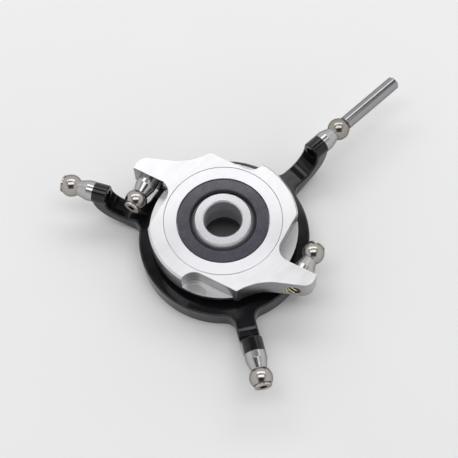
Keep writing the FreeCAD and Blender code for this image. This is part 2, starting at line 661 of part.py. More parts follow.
def stud(label, x, y, turned):
    """A link ball on a threaded shank; drawn along +X with the ball at its origin."""
    body = new_body(label)
    turn(body, "Revolution", outline(new_sketch(body, "XZ_Plane"), [
        ("-shank_end", 0),
        ("boss_end", 0),
        ("boss_end", "boss_face_radius"),
        ("boss_shoulder", "boss_radius"),
        ("tip_groove_end", "boss_radius"),
        ("tip_groove_end", "tip_groove_radius"),
        ("tip_groove_start", "tip_groove_radius"),
        ("tip_groove_start", "ball_edge_radius"),
        ("-neck_reach", "neck_radius"),
        ("-base_end", "arm_half_width"),
        ("-link_reach", "arm_half_width"),
        ("-link_reach", "shank_radius"),
        ("-shank_end", "shank_radius"),
    ], {7: ("link_radius", 1)}), "H_Axis")
    key = outline(new_sketch(body, "YZ_Plane", "boss_end"), [
        (0, "hex_corner"),
        ("hex_flat", "hex_half_side"),
        ("hex_flat", "-hex_half_side"),
        (0, "-hex_corner"),
        ("-hex_flat", "-hex_half_side"),
        ("-hex_flat", "hex_half_side"),
    ])
    extrude(body, "Pocket", key, "hex_depth")
    place(body, x, y, turned)


def link_balls():
    stud("link_ball_left", "left_x", "left_y", "left_angle")
    stud("link_ball_front", "front_x", "front_y", "front_angle")
    stud("upper_link_ball_a", "upper_x", "upper_y", "stud_turn")
    stud("upper_link_ball_b", "-upper_x", "-upper_y", "stud_turn_back")


def guide_ball_stud():
    """The first arm's link ball, bored on its outer side for the guide pin."""
    body = new_body("guide_ball_stud")
    turn(body, "Revolution", outline(new_sketch(body, "XZ_Plane"), [
        ("-shank_end", 0),
        ("-pin_sink", 0),
        ("-pin_sink", "pin_root_radius"),
        ("pin_mouth", "pin_root_radius"),
        ("-neck_reach", "neck_radius"),
        ("-base_end", "arm_half_width"),
        ("-link_reach", "arm_half_width"),
        ("-link_reach", "shank_radius"),
        ("-shank_end", "shank_radius"),
    ], {3: ("link_radius", 1)}), "H_Axis")
    place(body, "link_circle")


def guide_pin():
    body = new_body("guide_pin")
    turn(body, "Revolution", outline(new_sketch(body, "XZ_Plane"), [
        ("-pin_sink", 0),
        ("pin_reach", 0),
        ("pin_reach", "pin_tip_radius"),
        ("pin_shoulder", "pin_radius"),
        ("pin_start", "pin_radius"),
        ("pin_start", "pin_root_radius"),
        ("-pin_sink", "pin_root_radius"),
    ]), "H_Axis")
    place(body, "link_circle")


def upper_plate():
    """Round plate with a bearing seat, two swept arms, a pocket beside each arm
    for its link ball, and a lightening slot behind each arm."""
    body = ring("upper_plate", [
        (0, "-rotor_depth"),
        ("rotor_radius", "-rotor_depth"),
        ("rotor_radius", "rotor_shoulder"),
        ("rotor_edge", "ring_top"),
        (0, "ring_top"),
    ])
    wing = outline(new_sketch(body, "XY_Plane", "-rotor_depth"), [
        ("inner_along", "-seat_across"),
        ("arm_tip", "-seat_across"),
        ("arm_tip", "-nose_across"),
        ("nose_along", "-flank_across"),
        ("waist_along", "-waist_across"),
        ("heel_along", "-slot_wall"),
        ("inner_along", "-slot_wall"),
    ], {2: ("nose_radius", -1), 4: ("waist_radius", 1)})
    arm = extrude(body, "Pad", wing, "rotor_height")
    corner = outline(new_sketch(body, "XY_Plane", "-pocket_floor"), [
        ("pocket_wall", "pocket_far"),
        ("pocket_wall", "pocket_rise"),
        ("pocket_turn", "-seat_across"),
        ("pocket_far", "-seat_across"),
        ("pocket_far", "pocket_far"),
    ], {1: ("cutter_radius", 1)})
    pocket = extrude(body, "Pocket", corner, "rotor_height", reverse=True)
    groove = outline(new_sketch(body, "XY_Plane", "-pocket_floor"), [
        ("slot_end", "-slot_far"),
        ("slot_run_out", "-slot_far"),
        ("slot_run_out", "-slot_wall"),
        ("slot_centre", "-slot_wall"),
        ("slot_end", "-slot_across"),
    ], {3: ("cutter_radius", 1)})
    slot = extrude(body, "Pocket", groove, "rotor_height", reverse=True)
    dimple = new_sketch(body, "XY_Plane", "-mark_floor")
    circle(dimple, ("slot_centre", "-slot_across"), "mark_radius")
    mark = extrude(body, "Pocket", dimple, "rotor_height", reverse=True)
    hole = circle(new_sketch(body, "XZ_Plane"), ("stud_along", 0), "insert_hole_radius")
    tapped = extrude(body, "Pocket", hole, "pocket_far", "Symmetric")
    repeat(body, [arm, pocket, slot, mark, tapped], "arm_pairs")
    seat = outline(new_sketch(body, "XZ_Plane"), [
        (0, "-pocket_far"),
        ("shield_radius", "-pocket_far"),
        ("shield_radius", "bearing_bottom"),
        ("seat_radius", "bearing_bottom"),
        ("seat_radius", "pocket_far"),
        (0, "pocket_far"),
    ])
    body.Tip = turn(body, "Groove", seat, "V_Axis")
    place(body, turned="clocking")


def thread_inserts():
    """A threaded brass tube in each upper arm, round the stud's shank."""
    for label, x, y, turned in (
        ("thread_insert_a", "upper_x", "upper_y", "stud_turn"),
        ("thread_insert_b", "-upper_x", "-upper_y", "stud_turn_back"),
    ):
        body = new_body(label)
        turn(body, "Revolution", outline(new_sketch(body, "XZ_Plane"), [
            ("-insert_end", "tap_radius"),
            ("-insert_start", "tap_radius"),
            ("-insert_start", "insert_radius"),
            ("-insert_end", "insert_radius"),
        ]), "H_Axis")
        place(body, x, y, turned)


def cover_ring():
    ring("cover_ring", [
        ("cover_inner_radius", "bearing_top"),
        ("cover_radius", "bearing_top"),
        ("cover_radius", "cover_shoulder"),
        ("cover_edge", "ring_top"),
        ("cover_inner_edge", "ring_top"),
        ("cover_inner_radius", "cover_shoulder"),
    ])


def check(body):
    """Stop before anything is written if a feature failed or a solid is unsound."""
    for item in doc.Objects:
        if "Invalid" in item.State or "Error" in item.State:
            raise RuntimeError("failed feature: " + item.Name)
    if body.Shape.isNull() or not body.Shape.isValid():
        raise RuntimeError("unsound shape: " + body.Label)


lower_plate()
hub_sleeve()
ball_sockets()
socket_lock_ring()
bearing_races()
bearing_shields()
bearing_cage()
bearing_balls()
link_balls()
guide_ball_stud()
guide_pin()
upper_plate()
thread_inserts()
cover_ring()
uniball_liner()
uniball()

doc.recompute()
os.makedirs("parts", exist_ok=True)
for piece in pieces:
    check(piece)
for piece in pieces:
    piece.Shape.exportStep("parts/%s.step" % piece.Label)
    print(piece.Label, len(piece.Shape.Solids), round(piece.Shape.Volume, 3))
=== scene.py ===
"""Swashplate of a model helicopter: finishes, screw threads, stage and lights."""
import json
import math

import bmesh
import bpy
from bpy.props import FloatProperty, FloatVectorProperty, PointerProperty
from mathutils import Matrix, Vector


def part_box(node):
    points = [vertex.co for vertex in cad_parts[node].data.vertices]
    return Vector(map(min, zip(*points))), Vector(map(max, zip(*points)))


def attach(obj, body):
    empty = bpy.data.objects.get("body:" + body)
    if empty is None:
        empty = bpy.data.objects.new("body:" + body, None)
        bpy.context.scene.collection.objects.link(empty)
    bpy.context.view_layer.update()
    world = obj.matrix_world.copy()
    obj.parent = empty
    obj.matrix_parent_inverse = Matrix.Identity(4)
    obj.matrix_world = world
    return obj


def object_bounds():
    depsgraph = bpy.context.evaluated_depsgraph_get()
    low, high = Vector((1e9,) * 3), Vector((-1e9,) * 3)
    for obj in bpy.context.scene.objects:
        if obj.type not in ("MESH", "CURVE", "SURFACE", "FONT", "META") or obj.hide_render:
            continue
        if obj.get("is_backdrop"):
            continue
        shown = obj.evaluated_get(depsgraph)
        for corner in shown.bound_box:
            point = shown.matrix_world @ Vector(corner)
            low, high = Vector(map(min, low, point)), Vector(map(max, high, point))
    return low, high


bl_info = {
    "name": "Swashplate finishes",
    "version": (1, 0, 0),
    "blender": (4, 5, 0),
    "location": "View3D > Sidebar > Swashplate",
    "description": "Gives each machined piece of the swashplate its finish and sets the stage",
    "category": "Object",
}

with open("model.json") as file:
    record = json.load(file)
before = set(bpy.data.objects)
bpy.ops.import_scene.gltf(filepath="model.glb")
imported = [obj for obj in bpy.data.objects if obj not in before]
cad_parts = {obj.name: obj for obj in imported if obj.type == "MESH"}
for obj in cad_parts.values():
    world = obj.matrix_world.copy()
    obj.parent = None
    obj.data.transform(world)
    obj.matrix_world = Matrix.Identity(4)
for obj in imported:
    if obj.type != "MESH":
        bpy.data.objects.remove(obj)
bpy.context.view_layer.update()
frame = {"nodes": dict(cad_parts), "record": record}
MM = 0.001

MOUNTS = {mount["name"]: mount for mount in frame["record"]["mounts"]}

# colours of the pieces that have no property of their own
COVER_SILVER = [0.70, 0.70, 0.725]
SLEEVE_GREY = [0.075, 0.070, 0.088]
SLEEVE_EDGE = [0.008, 0.008, 0.010]
RACE_STEEL = [0.58, 0.57, 0.56]
SHIELD_STEEL = [0.50, 0.50, 0.50]
BALL_STEEL = [0.58, 0.58, 0.605]
PIN_STEEL = [0.36, 0.35, 0.36]
GUIDE_BALL_STEEL = [0.36, 0.335, 0.305]
GLANCING_STEEL = (0.35, 0.34, 0.33)
CAGE_BROWN = [0.22, 0.16, 0.08]
LINER_BLACK = [0.03, 0.03, 0.03]
SOCKET_BLACK = [0.05, 0.05, 0.05]
DULL_BRASS = [0.14, 0.12, 0.045]
# the bright brass is a painted highlight on one flank of each thread; the rest of the brass is
# dull
PAINTED_HIGHLIGHT_BRASS = [0.62, 0.57, 0.38]

# straight cutter marks on a milled face, and the passes of the cutter on a side wall
HATCH_TURN = math.radians(-26)
HATCH_SPACING = 0.22 * MM
HATCH_LENGTH = 6 * MM
PASS_SPACING = 0.4 * MM

# the stage
FLOOR_RADIUS = 2.0
FLOOR_SIDES = 64
BORE_PAINTED_SHADOW = (6 * MM, 10 * MM)  # painted shadow: the floor under the bore is darker, fading out between these radii
# share of the floor's colour left in the painted shadow under the bore
BORE_PAINTED_SHADOW_SHARE = 0.25
AIM_RIGHT = 1.2575 * MM
AIM_DOWN = 1.907 * MM


# ---------------------------------------------------------------- node helpers

class Finish:
    """One material under construction: its node tree and its metal or plastic shader."""

    def __init__(self, name):
        self.material = bpy.data.materials.new(name)
        self.material.use_nodes = True
        self.tree = self.material.node_tree
        self.shader = self.tree.nodes["Principled BSDF"]
        coordinates = self.add("ShaderNodeTexCoord").outputs
        self.place = coordinates["Object"]
        self.facing = coordinates["Normal"]

    def put(self, socket, value):
        """Give a socket a number, a colour or the output of another node."""
        if isinstance(value, bpy.types.NodeSocket):
            self.tree.links.new(value, socket)
        elif hasattr(value, "__len__") and len(value) == 3 and socket.type == "RGBA":
            socket.default_value = (*value, 1)
        else:
            socket.default_value = value

    def add(self, kind, inputs=(), **settings):
        node = self.tree.nodes.new(kind)
        for key, value in settings.items():
            setattr(node, key, value)
        for key, value in dict(inputs).items():
            self.put(node.inputs[key], value)
        return node

    def math(self, operation, first, second=0.0):
        return self.add("ShaderNodeMath", {0: first, 1: second}, operation=operation).outputs[0]

    def ramp(self, value, low, high, start=0.0, end=1.0):
        """Carry a value from the span low..high to start..end, held at both ends."""
        return self.add("ShaderNodeMapRange", {
            "Value": value, "From Min": low, "From Max": high, "To Min": start, "To Max": end,
        }).outputs["Result"]

    def noise(self, size, place=None, detail=3.0, roughness=0.55):
        """Cloudy variation whose patches are about size metres across."""
        return self.add("ShaderNodeTexNoise", {
            "Vector": place or self.place, "Scale": 1 / size, "Detail": detail,
            "Roughness": roughness,
        }).outputs["Fac"]

    def mix(self, factor, first, second):
        node = self.add("ShaderNodeMix", data_type="RGBA")
        self.put(node.inputs["Factor"], factor)
        self.put(node.inputs[6], first)
        self.put(node.inputs[7], second)
        return node.outputs[2]

    def vector(self, operation, first, second=None, output=0):
        inputs = {0: first} if second is None else {0: first, 1: second}
        return self.add("ShaderNodeVectorMath", inputs, operation=operation).outputs[output]

    def about(self, centre=(0, 0, 0), axis=(0, 0, 1)):
        """The way out from an axis, how far out, and how far along it."""
        away = self.vector("SUBTRACT", self.place, centre)
        along = self.vector("DOT_PRODUCT", away, axis, "Value")
        step = self.add("ShaderNodeVectorMath", {0: axis, "Scale": along}, operation="SCALE")
        out = self.vector("SUBTRACT", away, step.outputs[0])
        return out, self.vector("LENGTH", out, output="Value"), along

    def round_way(self, out, axis=(0, 0, 1)):
        """The direction in which the grooves of a turned face run."""
        way = self.vector("CROSS_PRODUCT", axis, out)
        return self.add("ShaderNodeVectorTransform", {0: way}, vector_type="VECTOR",
                        convert_from="OBJECT", convert_to="WORLD").outputs[0]

    def side_wall(self, axis=(0, 0, 1)):
        """1 on walls that run along an axis and 0 on faces square to it."""
        along = self.vector("DOT_PRODUCT", self.facing, axis, "Value")
        return self.ramp(self.math("ABSOLUTE", along), 0.75, 0.35)

    def grooves(self, distance, spacing):
        """Fine tool marks at a spacing, deeper and shallower by chance."""
        steps = self.math("MULTIPLY", distance, 1 / spacing)
        marks = self.add("ShaderNodeTexNoise", {"W": steps, "Scale": 1.0, "Detail": 2.0,
                                                "Roughness": 0.7}, noise_dimensions="1D")
        slow = self.add("ShaderNodeTexNoise", {"W": steps, "Scale": 0.07,
                                               "Detail": 1.0}, noise_dimensions="1D")
        return self.math("MULTIPLY", marks.outputs["Fac"],
                         self.ramp(slow.outputs["Fac"], 0.3, 0.7, 0.4, 1.0))

    def hatching(self, turn, spacing, length):
        """Straight cutter marks that run one way across a level face."""
        flat = self.add("ShaderNodeMapping", {"Vector": self.place, "Rotation": (0, 0, turn)})
        flat.inputs["Scale"].default_value = (1 / length, 1 / spacing, 1 / length)
        return self.add("ShaderNodeTexNoise", {"Vector": flat.outputs[0], "Scale": 1.0,
                                               "Detail": 3.0, "Roughness": 0.6}).outputs["Fac"]

    def soft_edges(self, radius):
        """The surface's normal with its sharp edges rounded off."""
        return self.add("ShaderNodeBevel", {"Radius": radius}, samples=6).outputs["Normal"]

    def edge_mask(self, rounded):
        """1 on an edge and 0 on open faces."""
        plain = self.add("ShaderNodeNewGeometry").outputs["Normal"]
        alike = self.vector("DOT_PRODUCT", rounded, plain, "Value")
        return self.ramp(alike, 0.995, 0.85)

    def bump(self, height, depth, normal=None):
        inputs = {"Height": height, "Distance": depth, "Strength": 1.0}
        if normal is not None:
            inputs["Normal"] = normal
        return self.add("ShaderNodeBump", inputs).outputs["Normal"]

    def finish(self, **sockets):
        names = {"colour": "Base Color", "metallic": "Metallic", "roughness": "Roughness",
                 "normal": "Normal", "specular": "Specular IOR Level", "tint": "Specular Tint",
                 "coat": "Coat Weight", "coat_roughness": "Coat Roughness",
                 "anisotropy": "Anisotropic", "anisotropic_rotation": "Anisotropic Rotation",
                 "tangent": "Tangent"}
        for key, value in sockets.items():
            self.put(self.shader.inputs[names[key]], value)
        return self.material


def dress(material, *nodes):
    """Give CAD pieces a material in place of the one they came with."""
    for name in nodes:
        mesh = frame["nodes"][name].data
        mesh.materials.clear()
        mesh.materials.append(material)


# -------------------------------------------------------------------- finishes

def machined_metal(name, colour, roughness, edge, marks=0.00012, depth=1.0e-6, wall=None,
                   painted_wall_shading=0.72, centre=(0, 0, 0), axis=(0, 0, 1), spread=0.0, bright=1.15,
                   glancing=(1, 1, 1), hatch=0.0, speckle=0.03, recess_painted_shade=(), parts=()):
    """Turned or milled metal: fine marks round an axis, a cloudy tone, and a painted highlight
    that makes the edges bright, the colour times bright.

    wall is the roughness of the side walls, where it differs from the faces';
    painted_wall_shading scales the side walls' colour, as painted shade below 1 and painted light
    above 1; parts are spans along the axis with the colour past them; recess_painted_shade are
    heights between which a level face grows darker as painted shade, with the share of that."""
    work = Finish(name)
    rounded = work.soft_edges(edge)
    rim = work.edge_mask(rounded)
    cloud = work.noise(0.004)
    fine = work.noise(0.0006, detail=4.0, roughness=0.65)
    out, distance, along = work.about(centre, axis)
    grooves = work.grooves(work.math("ADD", distance, along), marks)
    tint = work.mix(work.ramp(cloud, 0.3, 0.7), [c * 0.94 for c in colour], colour)
    for start, end, other in parts:
        tint = work.mix(work.ramp(along, start, end), tint, other)
    # painted highlight: the edges take the colour times bright
    tint = work.mix(work.math("MULTIPLY", rim, 0.6), tint, [min(1, c * bright) for c in colour])
    if hatch:
        lines = work.hatching(HATCH_TURN, HATCH_SPACING, HATCH_LENGTH)
        tint = work.mix(work.ramp(lines, 0.3, 0.7, 0, hatch), tint, [c * 0.7 for c in colour])
    rough = work.math("ADD", work.ramp(fine, 0.25, 0.75, -speckle * 0.7, speckle),
                      work.ramp(grooves, 0.2, 0.7, -speckle * 0.7, speckle))
    side = work.side_wall(axis)
    base = work.ramp(side, 0, 1, roughness, wall or roughness)
    if wall:
        passes = work.grooves(along, PASS_SPACING)
        # side walls in the colour times the wall tone: painted shade below 1, painted light above
        # 1; the cutter passes are real marks
        walls = work.mix(work.ramp(passes, 0.2, 0.5), [c * painted_wall_shading * 0.88 for c in colour],
                         [min(1, c * painted_wall_shading * 1.06) for c in colour])
        # painted highlight on the edges of the side walls
        walls = work.mix(work.math("MULTIPLY", rim, 0.7), walls,
                         [min(1, c * bright) for c in colour])
        tint = work.mix(side, tint, walls)
    upward = work.math("SUBTRACT", 1.0, side)
    # painted shade: level faces that lie deeper between the given heights grow darker
    for high, low, share in recess_painted_shade:
        recess_shade = work.math("MULTIPLY", upward, work.ramp(along, low, high, share, 0))
        tint = work.mix(recess_shade, tint, [c * 0.4 for c in colour])
    return work.finish(colour=tint, metallic=1.0, roughness=work.math("ADD", base, rough),
                       anisotropy=spread, anisotropic_rotation=0.25,
                       tangent=work.round_way(out, axis), tint=glancing,
                       normal=work.bump(grooves, depth, rounded))


def anodised_black(name, colour, edge_colour, edge, edge_share=0.9):
    """Dyed aluminium: a satin skin with fine flecks, and patches of its edges in the edge colour;
    on the lower plate that light edge is partly wear and partly painted highlight.
    """
    work = Finish(name)
    rounded = work.soft_edges(edge)
    rim = work.edge_mask(rounded)
    cloud = work.noise(0.003)
    grain = work.noise(0.00018, detail=5.0, roughness=0.7)
    edge_patches = work.ramp(work.noise(0.0012), 0.42, 0.62, edge_share * 0.2, edge_share)
    patchy_edge = work.math("MULTIPLY", rim, edge_patches)
    tint = work.mix(work.ramp(cloud, 0.3, 0.7), [c * 0.8 for c in colour], colour)
    flecks = work.noise(0.0004, detail=3.0, roughness=0.7)
    tint = work.mix(work.ramp(flecks, 0.45, 0.7, 0, 0.5), tint, [c * 1.7 for c in colour])
    # edges patchily take the edge colour: on the lower plate partly wear and partly painted
    # highlight, on the sleeve darker
    tint = work.mix(patchy_edge, tint, edge_colour)
    rough = work.math("ADD", work.ramp(grain, 0.3, 0.7, 0.09, 0.14),
                      work.ramp(cloud, 0.3, 0.7, -0.02, 0.02))
    out, distance, along = work.about()
    marks = work.grooves(work.math("ADD", distance, along), 0.0002)
    height = work.math("ADD", work.math("MULTIPLY", grain, 0.7), marks)
    patches = work.noise(0.0028, detail=2.0)
    return work.finish(colour=tint, metallic=0.0, roughness=rough,
                       specular=work.ramp(patches, 0.3, 0.7, 0.26, 0.46),
                       coat=0.08, coat_roughness=0.12,
                       normal=work.bump(height, 0.8e-6, rounded))


def moulded_polymer(name, colour, roughness):
    """Plain moulded plastic with a fine grain and faint rings."""
    work = Finish(name)
    grain = work.noise(0.0002, detail=4.0, roughness=0.7)
    cloud = work.noise(0.0025)
    tint = work.mix(work.ramp(cloud, 0.3, 0.7), [c * 0.82 for c in colour], colour)
    out, distance, along = work.about()
    rings = work.grooves(work.math("ADD", distance, along), 0.00025)
    height = work.math("ADD", grain, work.math("MULTIPLY", rings, 0.6))
    return work.finish(colour=tint, metallic=0.0, specular=0.4,
                       roughness=work.ramp(grain, 0.3, 0.7, roughness - 0.06, roughness + 0.06),
                       normal=work.bump(height, 3e-6))


# ------------------------------------------------------------------ properties

class SWASHPLATE_PG_finish(bpy.types.PropertyGroup):
    silver: FloatVectorProperty(
        name="Silver aluminium", description="Colour of the bright machined plate",
        subtype="COLOR", size=3, min=0, max=1, default=(0.72, 0.72, 0.73))
    black: FloatVectorProperty(
        name="Black anodising", description="Colour of the dyed lower plate",
        subtype="COLOR", size=3, min=0, max=1, default=(0.006, 0.006, 0.0075))
    # light edge lines of the lower plate: partly wear, partly painted highlight
    bare: FloatVectorProperty(
        name="Worn edge", description="Colour where the dyed layer is thin on an edge",
        subtype="COLOR", size=3, min=0, max=1, default=(0.10, 0.10, 0.11))
    steel: FloatVectorProperty(
        name="Link ball steel", description="Colour of the hardened link balls",
        subtype="COLOR", size=3, min=0, max=1, default=(0.44, 0.42, 0.395))
    # the cone and the tip face are the same steel as the ball; their lighter tones are painted
    # light
    cone: FloatVectorProperty(
        name="Link ball cone", description="Colour of the turned cone behind each link ball",
        subtype="COLOR", size=3, min=0, max=1, default=(0.47, 0.465, 0.46))
    tip: FloatVectorProperty(
        name="Link ball tip", description="Colour of the boss on each link ball",
        subtype="COLOR", size=3, min=0, max=1, default=(0.60, 0.55, 0.51))
    edge: FloatProperty(
        name="Edge rounding", description="Radius that catches light on machined edges",
        subtype="DISTANCE", unit="LENGTH", min=0, default=0.00008)


class SWASHPLATE_PG_stage(bpy.types.PropertyGroup):
    azimuth: FloatProperty(
        name="View direction", description="Direction of the camera round the mast",
        subtype="ANGLE", unit="ROTATION", default=math.radians(-129.8))
    elevation: FloatProperty(
        name="View height", description="Camera above the horizon",
        subtype="ANGLE", unit="ROTATION", default=math.radians(64.797))
    roll: FloatProperty(
        name="Camera roll", description="Turn of the camera about its own axis",
        subtype="ANGLE", unit="ROTATION", default=math.radians(-3.307))
    distance: FloatProperty(
        name="Camera distance", description="Camera to the middle of the part",
        subtype="DISTANCE", unit="LENGTH", default=0.25206)
    lens: FloatProperty(
        name="Lens", description="Focal length for a 36 mm wide sensor",
        subtype="DISTANCE_CAMERA", unit="CAMERA", default=94.87)
    floor: FloatVectorProperty(
        name="Floor", description="Colour of the pale floor",
        subtype="COLOR", size=3, min=0, max=1, default=(0.88, 0.88, 0.88))


# ------------------------------------------------------------------- operators

class SWASHPLATE_OT_stage(bpy.types.Operator):
    """Set the floor, the soft lamps, the surroundings and the camera"""
    bl_idname = "swashplate.stage"
    bl_label = "Set the stage"

    def execute(self, context):
        stage = context.scene.swashplate_stage
        low, high = (Vector(corner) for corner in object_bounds())
        self.floor(context, stage, low.z)
        self.world(context, stage)
        self.camera(context, stage)
        toward = self.direction(stage.azimuth, math.pi / 2)
        for label, elevation, width, depth, reach, power in (
            ("lamp_behind", 125.5, 0.84, 0.18, 0.60, 1.10),
            ("lamp_above", 88, 0.64, 0.23, 0.55, 1.02),
        ):
            self.lamp(context, label, stage, elevation, width, depth, reach, power)
        context.scene.view_settings.view_transform = "Standard"
        return {"FINISHED"}

    def direction(self, azimuth, elevation):
        return Vector((math.cos(azimuth) * math.cos(elevation),
                       math.sin(azimuth) * math.cos(elevation), math.sin(elevation)))

    def floor(self, context, stage, height):
        work = Finish("pale_floor")
        cloud = work.noise(0.05, detail=2.0)
        grain = work.noise(0.0012, detail=4.0)
        tint = work.mix(work.ramp(cloud, 0.3, 0.7), [c * 0.975 for c in stage.floor],
                        list(stage.floor))
        distance = work.about()[1]
        # painted shadow under the bore: near the mast axis the floor's colour falls to a share of
        # itself
        tint = work.mix(work.ramp(distance, *BORE_PAINTED_SHADOW),
                        [c * BORE_PAINTED_SHADOW_SHARE for c in stage.floor], tint)
        material = work.finish(colour=tint, roughness=work.ramp(grain, 0.3, 0.7, 0.5, 0.6),
                               specular=0.3, normal=work.bump(grain, 4e-6))
        mesh = bpy.data.meshes.new("floor")
        turns = [math.tau * k / FLOOR_SIDES for k in range(FLOOR_SIDES)]
        rim = [(FLOOR_RADIUS * math.cos(turn), FLOOR_RADIUS * math.sin(turn), height)
               for turn in turns]
        mesh.from_pydata(rim, [], [list(range(FLOOR_SIDES))])
        mesh.materials.append(material)
        floor = bpy.data.objects.new("floor", mesh)
        context.scene.collection.objects.link(floor)
        floor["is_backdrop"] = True

    def world(self, context, stage):
        """Pale surroundings, darker overhead, with a dark patch high up in front."""
        world = bpy.data.worlds.new("studio")
        context.scene.world = world
        world.use_nodes = True
        nodes, links = world.node_tree.nodes, world.node_tree.links
        place = nodes.new("ShaderNodeTexCoord").outputs["Generated"]
        split = nodes.new("ShaderNodeSeparateXYZ")
        links.new(place, split.inputs[0])
        walls = nodes.new("ShaderNodeValToRGB")
        links.new(split.outputs["Z"], walls.inputs["Fac"])
        steps = ((0.0, 0.92), (0.66, 0.84), (0.86, 0.20), (1.0, 0.20))
        while len(walls.color_ramp.elements) < len(steps):
            walls.color_ramp.elements.new(1.0)
        for element, (height, level) in zip(walls.color_ramp.elements, steps):
            element.position = height
            element.color = (level, level, level * 1.01, 1)
        across = Vector((-math.sin(stage.azimuth), math.cos(stage.azimuth), 0))
        back = self.direction(stage.azimuth, math.radians(54))
        level = None
        for way, near, far in ((across, 0.42, 0.52), (back.cross(across), 0.38, 0.46)):
            facing = nodes.new("ShaderNodeVectorMath")
            facing.operation = "DOT_PRODUCT"
            links.new(place, facing.inputs[0])
            facing.inputs[1].default_value = way
            size = nodes.new("ShaderNodeMath")
            size.operation = "ABSOLUTE"
            links.new(facing.outputs["Value"], size.inputs[0])
            level = self.lesser(nodes, links, size.outputs[0], near, far, level)
        facing = nodes.new("ShaderNodeVectorMath")
        facing.operation = "DOT_PRODUCT"
        links.new(place, facing.inputs[0])
        facing.inputs[1].default_value = back
        level = self.lesser(nodes, links, facing.outputs["Value"], 0.3, 0.1, level)
        dark = nodes.new("ShaderNodeMapRange")
        links.new(level, dark.inputs["Value"])
        dark.inputs["To Min"].default_value = 1.0
        dark.inputs["To Max"].default_value = 0.12
        links.new(walls.outputs["Color"], nodes["Background"].inputs["Color"])
        links.new(dark.outputs["Result"], nodes["Background"].inputs["Strength"])

    def lesser(self, nodes, links, value, full, none, other):
        """1 where a value is up to full and 0 past none, or less where the other is."""
        step = nodes.new("ShaderNodeMapRange")
        links.new(value, step.inputs["Value"])
        step.inputs["From Min"].default_value = none
        step.inputs["From Max"].default_value = full
        if other is None:
            return step.outputs["Result"]
        both = nodes.new("ShaderNodeMath")
        both.operation = "MINIMUM"
        links.new(step.outputs["Result"], both.inputs[0])
        links.new(other, both.inputs[1])
        return both.outputs[0]

    def lamp(self, context, label, stage, elevation, width, depth, reach, power):
        """A flat lamp over the part, facing its middle."""
        data = bpy.data.lights.new(label, "AREA")
        data.shape = "RECTANGLE"
        data.size = width
        data.size_y = depth
        data.energy = power
        lamp = bpy.data.objects.new(label, data)
        spot = self.direction(stage.azimuth, math.radians(elevation))
        lamp.location = spot * reach
        lamp.rotation_euler = spot.to_track_quat("Z", "Y").to_euler()
        context.scene.collection.objects.link(lamp)

    def camera(self, context, stage):
        back = self.direction(stage.azimuth, stage.elevation)
        right = Vector((-math.sin(stage.azimuth), math.cos(stage.azimuth), 0))
        up = back.cross(right)
        turn = Matrix.Rotation(stage.roll, 3, back)
        right, up = turn @ right, turn @ up
        top = Vector((0, 0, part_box("cover_ring")[1][2]))
        aim = top + right * AIM_RIGHT - up * AIM_DOWN
        data = bpy.data.cameras.new("camera")
        data.sensor_width = 36
        data.lens = stage.lens
        data.clip_start = 0.01
        camera = bpy.data.objects.new("camera", data)
        matrix = Matrix((right, up, back)).transposed().to_4x4()
        matrix.translation = aim + back * stage.distance
        camera.matrix_world = matrix
        context.scene.collection.objects.link(camera)
        context.scene.camera = camera


class SWASHPLATE_OT_plates(bpy.types.Operator):
    """Give the black lower plate and the silver upper plate their finishes"""
    bl_idname = "swashplate.plates"
    bl_label = "Finish the plates"

    def execute(self, context):
        look = context.scene.swashplate_finish
        # silver plate: painted shade on its side walls and its sunk level faces, and a painted
        # highlight on its edges
        silver = machined_metal("silver_aluminium", list(look.silver), 0.34, look.edge * 1.7,
                                spread=0.6, wall=0.2, painted_wall_shading=0.58, bright=1.3, hatch=0.28,
                                recess_painted_shade=((1 * MM, -1 * MM, 0.3), (-1.12 * MM, -1.2 * MM, 0.4)))
        dress(silver, "upper_plate")
        # cover ring: painted shade on its side walls and a painted highlight on its edges
        cover = machined_metal("cover_aluminium", COVER_SILVER, 0.32, look.edge,
                               marks=0.00009, depth=1.2e-6, spread=0.7, wall=0.2,
                               painted_wall_shading=0.3)
        dress(cover, "cover_ring")
        # lower plate: its light edge lines are partly wear and partly painted highlight
        black = anodised_black("black_anodised", list(look.black), list(look.bare), look.edge)
        dress(black, "lower_plate")
        sleeve = anodised_black("sleeve_anodised", SLEEVE_GREY, SLEEVE_EDGE, look.edge * 1.5,
                                edge_share=1.0)
        dress(sleeve, "hub_sleeve", "socket_lock_ring")
        return {"FINISHED"}


class SWASHPLATE_OT_bearing(bpy.types.Operator):
    """Give the bearing's races, shields, cage and balls their finishes"""
    bl_idname = "swashplate.bearing"
    bl_label = "Finish the bearing"

    def execute(self, context):
        look = context.scene.swashplate_finish
        race = machined_metal("race_steel", RACE_STEEL, 0.18, look.edge, marks=0.00005)
        dress(race, "bearing_inner_race", "bearing_outer_race", "bearing_balls")
        shield = machined_metal("shield_steel", SHIELD_STEEL, 0.3, look.edge, marks=0.0001)
        dress(shield, "bearing_shield_upper", "bearing_shield_lower")
        dress(moulded_polymer("cage_polymer", CAGE_BROWN, 0.45), "bearing_cage")
        return {"FINISHED"}


class SWASHPLATE_OT_uniball(bpy.types.Operator):
    """Give the tilting ball, its liner and its sockets their finishes"""
    bl_idname = "swashplate.uniball"
    bl_label = "Finish the uniball"

    def execute(self, context):
        look = context.scene.swashplate_finish
        # uniball: a painted highlight on its edges and painted light on the wall of its bore
        ball = machined_metal("ball_steel", BALL_STEEL, 0.26, look.edge * 1.5,
                              bright=1.4, marks=0.00008, depth=0.12e-6, spread=0.3,
                              wall=0.42, painted_wall_shading=1.6, speckle=0.01)
        dress(ball, "uniball")
        dress(moulded_polymer("liner_polymer", LINER_BLACK, 0.5), "uniball_liner")
        dress(moulded_polymer("socket_polymer", SOCKET_BLACK, 0.5),
              "ball_socket_upper", "ball_socket_lower")
        return {"FINISHED"}


